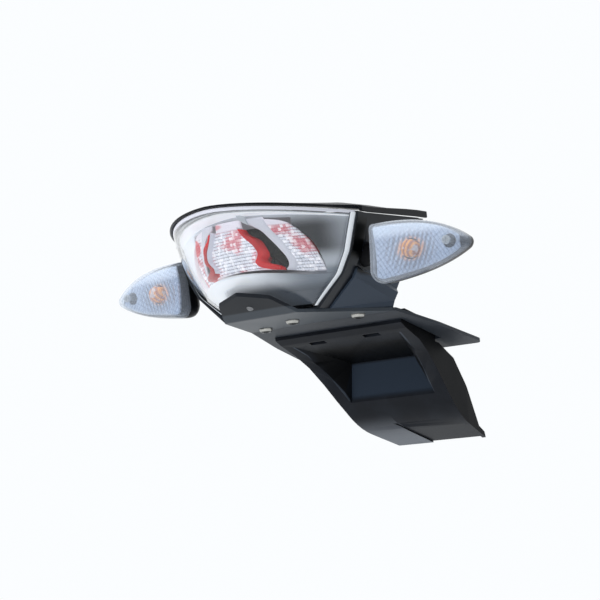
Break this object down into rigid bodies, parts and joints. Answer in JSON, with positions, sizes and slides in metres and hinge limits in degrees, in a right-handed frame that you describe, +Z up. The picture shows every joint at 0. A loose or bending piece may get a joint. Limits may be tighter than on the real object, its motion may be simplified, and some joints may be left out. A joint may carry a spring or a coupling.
{
  "type": "tail tidy",
  "caption": "Motorcycle tail tidy: folded steel plate and moulded undertray, carrying a clear tail lamp and arrow-shaped indicators in a black cowl.",
  "frame": {"origin": "upper face of the folded plate, midway between its two front bolts", "axes": "+X the machine's right, +Y forward, +Z up, square to the plate's level facet"},
  "size_m": [0.3208, 0.311, 0.1775],
  "materials": {
    "plate_steel": "satin powder coat",
    "bolt_steel": "bright",
    "rivet_metal": "dull",
    "tray_plastic": "fine grain",
    "cowl_plastic": "satin",
    "housing_plastic": "moulded",
    "silver_reflector": "vacuum coated, soft",
    "seal_rubber": "matt",
    "lens_clear": "polished",
    "inner_lens_clear": "fluted",
    "divider_black": "gloss",
    "red_plastic": "clear red",
    "red_bulb": "tinted",
    "holder_plastic": "moulded",
    "indicator_clear": "polished",
    "indicator_black": "satin",
    "amber_bulb": "tinted",
    "stem_rubber": "matt",
    "nut_steel": "zinc plated"
  },
  "bodies": {
    "root": {"main_plate": "plate_steel", "plate_bolts": "bolt_steel", "lens_screw_right": "bolt_steel", "lens_screw_left": "bolt_steel", "tongue_rivet": "rivet_metal", "centre_clip": "rivet_metal", "undertray": "tray_plastic", "lamp_surround": "cowl_plastic", "side_panel_right": "cowl_plastic", "side_panel_left": "cowl_plastic", "tail_cover": "cowl_plastic", "lamp_housing": "housing_plastic", "lamp_reflector": "silver_reflector", "indicator_reflector_right": "silver_reflector", "indicator_reflector_left": "silver_reflector", "lens_seal": "seal_rubber", "lamp_lens": "lens_clear", "inner_lens_centre": "inner_lens_clear", "inner_lens_right": "inner_lens_clear", "inner_lens_left": "inner_lens_clear", "divider_right": "divider_black", "divider_left": "divider_black", "red_strip_right": "red_plastic", "red_strip_left": "red_plastic", "tail_bulb_centre": "red_bulb", "tail_bulb_right": "red_bulb", "tail_bulb_left": "red_bulb", "bulb_holder_centre": "holder_plastic", "bulb_holder_right": "holder_plastic", "bulb_holder_left": "holder_plastic", "indicator_holder_right": "holder_plastic", "indicator_holder_left": "holder_plastic", "indicator_lens_right": "indicator_clear", "indicator_lens_left": "indicator_clear", "indicator_body_right": "indicator_black", "indicator_body_left": "indicator_black", "indicator_bulb_right": "amber_bulb", "indicator_bulb_left": "amber_bulb", "indicator_stem_right": "stem_rubber", "indicator_stem_left": "stem_rubber", "stem_nut_right": "nut_steel", "stem_nut_left": "nut_steel"}
  },
  "joints": []
}
